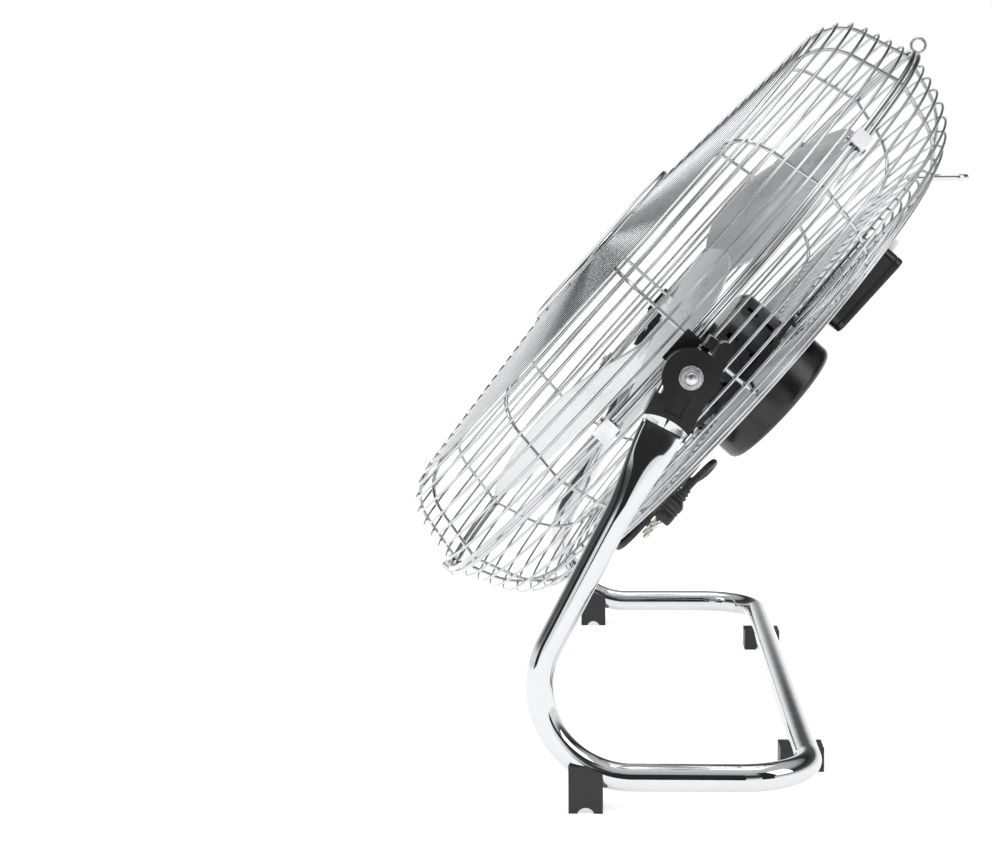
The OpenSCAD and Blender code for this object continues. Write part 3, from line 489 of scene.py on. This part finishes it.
def tube_section(i, a):
    """Round along the tube; towards its ends, pressed to a strip with round edges."""
    c, s, f = math.cos(a), math.sin(a), flat[i]
    half, edge = TAB_W / 2 - TAB_T / 2, TAB_T / 2
    # the strip's outline at the same angle: a straight face, then half a circle at each side
    along = max(-1.0, min(1.0, 1.5 * strip_place(a)))
    past = max(0.0, 1.5 * abs(strip_place(a)) - 1) / 0.5
    thick = edge * math.cos(0.5 * math.pi * past) * (1 if c >= 0 else -1)
    wide = half * along + math.copysign(edge * math.sin(0.5 * math.pi * past), along)
    return (((1 - f) * TUBE_R * c + f * thick) / 1000, ((1 - f) * TUBE_R * s + f * wide) / 1000)


def strip_place(a):
    """Where angle a lies across the strip: 0 in the middle of a face, 1 and -1 at its sides."""
    q = (a / (0.5 * math.pi)) % 4
    return q if q <= 1 else 2 - q if q <= 3 else q - 4


def tab(side):
    """The flat end round the pivot bolt, with its hole, standing along the arm."""
    steps, verts, faces = 48, [], []
    for x in (-TAB_T / 2, TAB_T / 2):
        for k in range(steps):
            a = 2 * math.pi * k / steps
            c, s = math.cos(a), math.sin(a)
            r = TAB_W / 2
            if s < 0:               # straight sides and a square end below the bolt
                r = min(r / max(abs(c), 1e-6), -FLARE_HIGH / -s)
            for q in (r, BORE_R):
                y, z = q * c, q * s
                verts.append((side * (ARM_X + x), y * math.cos(LEAN) + z * math.sin(LEAN),
                              z * math.cos(LEAN) - y * math.sin(LEAN)))
    low, high = 0, 2 * steps
    for k in range(steps):
        a, b = 2 * k, 2 * ((k + 1) % steps)
        faces += [(a, b, b + 1, a + 1), (high + a, high + a + 1, high + b + 1, high + b),
                  (a, high + a, high + b, b), (a + 1, b + 1, high + b + 1, high + a + 1)]
    return [(Vector(v) + 1000 * PIVOT) / 1000 for v in verts], faces


tube = piece("bent_tube", *join([sweep(path, tube_section, Vector((1, 0, 0)), 56), tab(1), tab(-1)]),
             "stand", CHROME)
stands_for(tube, "stand_tube")

for side in ("left", "right"):
    refined("pivot_cover_" + side, MOULDED, 0.0018, 4)
    refined("front_foot_" + side, FOOT, 0.0007, 3)
    refined("rear_foot_" + side, FOOT, 0.0007, 3)
    refined("pivot_bracket_" + side, ENAMEL, 0.0005, 2)

# ---------- grilles ----------
CAGE_R, SEAM_WIRE, SEAM_OFF, WELD = 271.0, 4.0, 2.2, 0.35
RING_W, RIB_W, PITCH, RIBS = 2.2, 3.0, 9.9, 12
RIB_START, RIB_STEPS = 0.5, 64      # clear of the other grille's ribs at the seam
BIG_RING = 150                      # rings larger than this get more sides
TRIM = 0.05                         # taken off each wire's radius, to stay inside the part's own box


def outline_at(s, r0, side, lean, corner, face, off):
    """The point at length s along a rib's outline, moved outwards by off."""
    lean_r, face_r = math.radians(lean), math.radians(face)
    straight = side / math.cos(lean_r)
    bend = corner * (face_r - lean_r)
    cx = r0 - side * math.tan(lean_r) - corner * math.cos(lean_r)
    cz = side - corner * math.sin(lean_r)
    if s < straight:
        return (r0 - s * math.sin(lean_r) + off * math.cos(lean_r),
                s * math.cos(lean_r) + off * math.sin(lean_r))
    if s < straight + bend:
        t = lean_r + (s - straight) / corner
        return cx + (corner + off) * math.cos(t), cz + (corner + off) * math.sin(t)
    rest = s - straight - bend
    return (cx + (corner + off) * math.cos(face_r) - rest * math.sin(face_r),
            cz + (corner + off) * math.sin(face_r) + rest * math.cos(face_r))


def grille(name, nodes, side, lean, corner, face, hub_r, flip):
    """Rings on the outside of the ribs: a leaning side, a round corner and a shallow face."""
    lean_r, face_r = math.radians(lean), math.radians(face)
    bite = (SEAM_WIRE + RIB_W) / 2 - WELD
    r0 = CAGE_R - (bite - SEAM_OFF * math.sin(lean_r)) / math.cos(lean_r)
    straight, bend = side / math.cos(lean_r), corner * (face_r - lean_r)
    face_x = r0 - side * math.tan(lean_r) - corner * (math.cos(lean_r) - math.cos(face_r))
    flat_l = (face_x - hub_r) / math.sin(face_r) - RIB_W / 2
    stops = []
    for start, length in ((0, straight), (straight, bend), (straight + bend, flat_l)):
        n = round(length / PITCH)
        stops += [start + length * i / n for i in range(1, n + 1)]
    parts = [torus(CAGE_R / 1000, SEAM_WIRE / 2000 - TRIM / 1000, SEAM_OFF / 1000, 240, 12)]
    for s in stops:
        r, z = outline_at(s, r0, side, lean, corner, face, (RING_W + RIB_W) / 2 - WELD)
        parts.append(torus(r / 1000, RING_W / 2000 - TRIM / 1000, z / 1000, 200 if r > BIG_RING else 120, 8))
    whole = straight + bend + flat_l + RIB_W / 2
    line = [outline_at(RIB_START + (whole - RIB_START) * k / RIB_STEPS, r0, side, lean, corner, face, 0)
            for k in range(RIB_STEPS + 1)]
    for i in range(RIBS):
        a = math.radians(90 + i * 360 / RIBS)
        path = [Vector((r * math.cos(a), r * math.sin(a), z)) / 1000 for r, z in line]
        parts.append(wire(path, RIB_W / 2000, Vector((-math.sin(a), math.cos(a), 0)), 10))
    return stands_for(piece(name, *join(parts), "head", WIRE, matrix=BEHIND if flip else HEAD), *nodes)


grille("front_cage", ("front_rings", "front_ribs"), 40, 14, 34, 85.5, 72, False)
grille("rear_cage", ("rear_rings", "rear_ribs"), 30, 18, 52.5, 88, 62, True)

badge = [(0, 85.8), (12, 85.75), (40, 85.2), (60, 84.2), (70.5, 83.3), (73, 83.6)]
for k in range(15):
    a = math.radians(150 - 20 * k)
    badge.append((75.4 + 2.4 * math.cos(a), 82.4 + 2.4 * math.sin(a)))
badge += [(73.2, 81.8), (70, 82.2), (40, 83.8), (0, 84.2)]
stands_for(piece("centre_disc", *lathe(mm(badge), 160), "head", DISC, matrix=HEAD), "centre_badge")

for node, mat, width in (("rim_clips", ZINC, 0.0004), ("clip_screws", ZINC, 0.0003),
                         ("bottom_latch", ZINC, 0.0004), ("back_plate", ENAMEL, 0.0012),
                         ("control_box", MOULDED, 0.0016),
                         ("control_box_lid", MOULDED, 0.0028), ("pivot_nuts", ZINC, 0.0007),
                         ("pivot_washers", ZINC, 0.0003), ("pivot_spacers", MOULDED, 0.0005),
                         ("motor_front_shell", ENAMEL, 0.0006), ("motor_rear_shell", ENAMEL, 0.0006),
                         ("motor_screws", ZINC, 0.0004), ("blade_hub", ZINC, 0.0006),
                         ("hub_nut", ZINC, 0.0005),
                         ("foot_screws", ZINC, 0.0003), ("box_screws", ZINC, 0.0004)):
    refined(node, mat, width, 3)

# top hook: a wire loop, drawn finer than the CAD's
hook = torus(0.0055, 0.0013 - TRIM / 1000, 0, 48, 12)
at_hook = HEAD @ Matrix.Translation((0, 0.280, 0)) @ Matrix.Rotation(math.pi / 2, 4, "Y")
stands_for(piece("hook_loop", *hook, "head", WIRE, matrix=at_hook), "top_hook")

# studs with a chamfered end
STUD_X = 0.2727                     # inner end of each stud's shank
stud = mm([(0, -0.8), (6.2, -0.8), (6.5, -0.6), (6.5, 0), (4, 0.05), (4, 37.5), (3.3, 38.2), (0, 38.2)])
parts = []
for s in (-1, 1):
    v, f = lathe(stud, 32)
    parts.append(([(s * (STUD_X + p[2]), p[0], p[1]) for p in v], f))
stands_for(piece("pivot_bolts", *join(parts), "head", ZINC, matrix=Matrix.Translation(PIVOT)), "pivot_studs")

# ---------- motor cover, knob, handle ----------
dish = rounded([(0, 111.9), (20, 111.9), (21.5, 110.9), (23.5, 110.9), (25, 111.9), (57, 111.9),
                (57, 84.5), (56, 84.0), (56, 82.6), (54.6, 82.6), (54.6, 98), (50, 108.4), (0, 108.4)],
               [0.8, 0.6, 0.6, 0.8, 7, 0.4, 0.4, 0.4, 0.4, 3, 3], 8)
stands_for(piece("motor_dish", *lathe(mm(dish), 128), "head", MOULDED, matrix=BEHIND), "rear_cover")
SCREWS, SCREW_R, SCREW_OUT = 3, 0.034, 0.1121
parts = []
screw = mm([(0, 0.9), (1.8, 0.85), (2.6, 0.5), (3, 0), (3, -0.1), (0, -0.1)])
for k in range(SCREWS):
    a = 2 * math.pi * (k + 0.5) / SCREWS
    v, f = lathe(screw, 24)
    parts.append(([(p[0] + SCREW_R * math.cos(a), p[1] + SCREW_R * math.sin(a), -(p[2] + SCREW_OUT))
                   for p in v], f))
stands_for(piece("dish_screws", *join(parts), "head", ZINC, matrix=HEAD), "cover_screws")

FLUTES, FLUTE_DEPTH = 20, 0.035
FLUTED = range(11, 32)              # the profile points down the knob's side
knob_profile = mm(rounded([(0, 3), (3, 3), (3, 0), (7.4, 0), (7.9, 0.5), (7.4, 8.4), (6.4, 9.9), (0, 9.7)],
                          0.5, 4))
knob = lathe(knob_profile, 120,
             lambda a, i: 1 - FLUTE_DEPTH * max(0.0, math.cos(FLUTES * a)) * (1 if i in FLUTED else 0))
pointer_outline = ((-0.0006, 0.002), (0.0006, 0.002), (0.0006, 0.0062), (-0.0006, 0.0062))
pointer = ([(x, y, z) for z in (0.0096, 0.0101) for x, y in pointer_outline],
           [(0, 1, 2, 3), (4, 5, 6, 7), (0, 1, 5, 4), (1, 2, 6, 5), (2, 3, 7, 6), (3, 0, 4, 7)])
at_knob = HEAD @ Matrix.Translation((0, 0.1475, -0.086)) @ Matrix.Rotation(-math.pi / 2, 4, "X")
stands_for(piece("fluted_knob", *knob, "knob", KNOB, matrix=at_knob), "speed_knob")
mark = piece("knob_pointer", *pointer, "knob", MOULDED, smooth=False, matrix=at_knob)

FOOT_AT, TOP_AT = Vector((0, 208, -73.5)), Vector((0, 224, -91.5))
BOW_X, BOW_R, BOW_WIRE = 52, 9, 0.0025
out_dir = (TOP_AT - FOOT_AT).normalized()
rise = (TOP_AT - FOOT_AT).length
bow = [Vector((-BOW_X, 0, 0)) + out_dir * s for s in (-6.5, -2, 4, 9, rise - BOW_R)]
corner = [(BOW_R - BOW_X - BOW_R * math.cos(a), rise - BOW_R + BOW_R * math.sin(a))
          for a in (0.5 * math.pi * k / 12 for k in range(1, 13))]
bow += [Vector((x, 0, 0)) + out_dir * s for x, s in corner]
bow += [Vector((x, 0, 0)) + out_dir * rise for x in (-30, -15, 0)]
bow += [Vector((-p.x, p.y, p.z)) for p in reversed(bow[:-1])]
bow = [HEAD @ ((p + FOOT_AT) / 1000) for p in bow]
stands_for(piece("handle_bow", *wire(bow, BOW_WIRE, Vector((1, 0, 0)), 20), "head", CHROME), "carry_handle")

# ---------- blades ----------
BLADE_R, ROOT = 232.0, 36.0
BLADES, FIRST_BLADE = 3, 100        # the first blade's place, in degrees
SHEET = 1.6


def blade_point(t, s, lift):
    """t runs from root to tip and s from edge to edge; lift is the height in the sheet."""
    r = ROOT + (BLADE_R - ROOT) * t
    half = (11 + 21 * math.sin(math.pi * t ** 0.62)) * math.sqrt(max(0.0, 1 - t ** 9)) + 3
    a = math.radians(26 * t * t + half * s)
    across = r * math.radians(half) * s
    pitch = (34 - 14 * t) * (1 - math.exp(-9 * (t + 0.02)))
    z = across * math.tan(math.radians(pitch)) * 0.62 + 5 * math.sin(math.pi * t) * (1 - s * s)
    # pressed stiffening channels along the blade
    for centre in (-0.34, 0.3):
        ends = max(0.0, math.sin(math.pi * min(1, t / 0.86))) ** 0.6
        z -= 0.9 * math.exp(-((s - centre) / 0.06) ** 2) * ends
    return r * math.cos(a), r * math.sin(a), z + lift


for i in range(BLADES):
    rows, cols, lifts = 48, 40, (SHEET, 0.0)
    verts = [blade_point(a / rows, 2 * b / cols - 1, lift) for lift in lifts
             for a in range(rows + 1) for b in range(cols + 1)]
    n, w, faces = (rows + 1) * (cols + 1), cols + 1, []
    for a in range(rows):
        for b in range(cols):
            k = a * w + b
            faces += [(k, k + 1, k + w + 1, k + w), (n + k, n + k + w, n + k + w + 1, n + k + 1)]
    rim = (list(range(cols)) + [a * w + cols for a in range(rows)]
           + [rows * w + b for b in range(cols, 0, -1)] + [a * w for a in range(rows, 0, -1)])
    for a, b in zip(rim, rim[1:] + rim[:1]):
        faces.append((a, n + a, n + b, b))
    turn = Matrix.Rotation(math.radians(FIRST_BLADE + 360 * i / BLADES), 4, "Z")
    blade = piece(f"swept_blade_{i + 1}", [Vector(v) / 1000 for v in verts], faces, "rotor", ALU,
                  matrix=HEAD @ turn)
    edge = blade.modifiers.new("edge", "BEVEL")
    edge.width, edge.segments, edge.limit_method, edge.angle_limit = 0.0005, 2, "ANGLE", math.radians(50)
    stands_for(blade, f"blade_{i + 1}")

rivet = mm([(0, -1.8), (1.2, -1.75), (2.1, -1.3), (2.6, -0.5), (2.6, 0), (0, 0)])
parts = []
for i in range(BLADES):
    turn = Matrix.Rotation(math.radians(FIRST_BLADE + 360 * i / BLADES), 4, "Z")
    for x, y in ((42, -7), (42, 7), (54, 0)):
        v, f = lathe(rivet, 20)
        parts.append(([turn @ Vector((p[0] + x / 1000, p[1] + y / 1000, p[2] - 0.004)) for p in v], f))
stands_for(piece("rivet_heads", *join(parts), "rotor", ZINC, matrix=HEAD), "blade_rivets")

# ---------- floor, surroundings and light ----------
FLOOR_HALF = 9                      # m, well past the picture's edges


def stage_mat(name, color, glow):
    m = bpy.data.materials.new(name)
    m.use_nodes = True
    nt = m.node_tree
    bsdf = nt.nodes["Principled BSDF"]
    bsdf.inputs["Roughness"].default_value = 0.85
    bsdf.inputs["Emission Strength"].default_value = glow
    bsdf.inputs["Emission Color"].default_value = (1, 1, 1, 1)
    coord = nt.nodes.new("ShaderNodeTexCoord")
    n = nt.nodes.new("ShaderNodeTexNoise")
    n.inputs["Scale"].default_value = 3
    ramp = nt.nodes.new("ShaderNodeMix")
    ramp.data_type = "RGBA"
    ramp.inputs[MIX_A].default_value = (*[c * 0.985 for c in color], 1)
    ramp.inputs[MIX_B].default_value = (*color, 1)
    nt.links.new(coord.outputs["Object"], n.inputs["Vector"])
    nt.links.new(n.outputs["Fac"], ramp.inputs[0])
    nt.links.new(ramp.outputs[MIX_OUT], bsdf.inputs["Base Color"])
    return m


floor_mesh = bpy.data.meshes.new("floor")
floor_mesh.from_pydata([(x * FLOOR_HALF, y * FLOOR_HALF, 0) for x, y in ((-1, -1), (1, -1), (1, 1), (-1, 1))],
                       [], [(0, 1, 2, 3)])
floor_mesh.materials.append(stage_mat("pale_floor", (0.78, 0.78, 0.78), 0.68))
floor = bpy.data.objects.new("floor", floor_mesh)
scene.collection.objects.link(floor)

world = bpy.data.worlds.new("studio")
scene.world = world
world.use_nodes = True
nt = world.node_tree
background = nt.nodes["Background"]
coord = nt.nodes.new("ShaderNodeTexCoord")
split = nt.nodes.new("ShaderNodeSeparateXYZ")
ramp = nt.nodes.new("ShaderNodeValToRGB")
# brightness from straight down, through the horizon at 0.5, to straight up
stops = [(0.0, 0.95), (0.5, 1.0), (0.56, 1.0), (0.63, 0.12), (0.76, 0.02), (0.84, 0.5), (1.0, 0.8)]
while len(ramp.color_ramp.elements) < len(stops):
    ramp.color_ramp.elements.new(0.5)
for element, (at, value) in zip(ramp.color_ramp.elements, stops):
    element.position, element.color = at, (value, value, value * 1.005, 1)
shift = nt.nodes.new("ShaderNodeMath")
shift.operation = "MULTIPLY_ADD"
shift.inputs[1].default_value = 0.5
shift.inputs[2].default_value = 0.5
nt.links.new(coord.outputs["Generated"], split.inputs[0])
nt.links.new(split.outputs["Z"], shift.inputs[0])
nt.links.new(shift.outputs[0], ramp.inputs["Fac"])
nt.links.new(ramp.outputs["Color"], background.inputs["Color"])
background.inputs["Strength"].default_value = 1.0


def softbox(name, place, aim, size, power):
    light = bpy.data.lights.new(name, "AREA")
    light.shape, light.size, light.size_y, light.energy = "RECTANGLE", size[0], size[1], power
    obj = bpy.data.objects.new(name, light)
    obj.location = place
    obj.rotation_mode = "QUATERNION"
    obj.rotation_quaternion = (Vector(aim) - Vector(place)).to_track_quat("-Z", "Y")
    scene.collection.objects.link(obj)


softbox("key", (1.6, -2.2, 2.4), (0, 0, 0.25), (1.6, 1.6), 26)
softbox("fill", (1.2, 2.4, 1.8), (0, 0, 0.25), (1.4, 1.8), 18)
softbox("top", (-0.6, 0, 3.0), (0, 0, 0.2), (2.2, 2.2), 24)


CARD = bpy.data.materials.new("black_card")
CARD.use_nodes = True
CARD.node_tree.nodes["Principled BSDF"].inputs["Base Color"].default_value = (0.01, 0.01, 0.01, 1)
CARD.node_tree.nodes["Principled BSDF"].inputs["Roughness"].default_value = 0.9


def card(name, centre, size, turn_z):
    """A black card beside the fan, seen only as a dark band in the chrome."""
    w, h = size
    mesh = bpy.data.meshes.new(name)
    mesh.from_pydata([(-w / 2, 0, -h / 2), (w / 2, 0, -h / 2), (w / 2, 0, h / 2), (-w / 2, 0, h / 2)],
                     [], [(0, 1, 2, 3)])
    mesh.materials.append(CARD)
    obj = bpy.data.objects.new(name, mesh)
    obj.location = centre
    obj.rotation_euler = (0, 0, math.radians(turn_z))
    obj.visible_camera = False
    obj.visible_shadow = False
    obj.visible_diffuse = False
    scene.collection.objects.link(obj)


card("card_left", (1.3, -1.5, 0.8), (0.7, 2.4), 45)
card("card_right", (1.5, 1.1, 0.8), (0.5, 2.4), -60)
card("card_behind", (2.4, -0.2, 0.9), (1.3, 1.9), 90)

scene.view_settings.view_transform = "Standard"
scene.view_settings.look = "None"
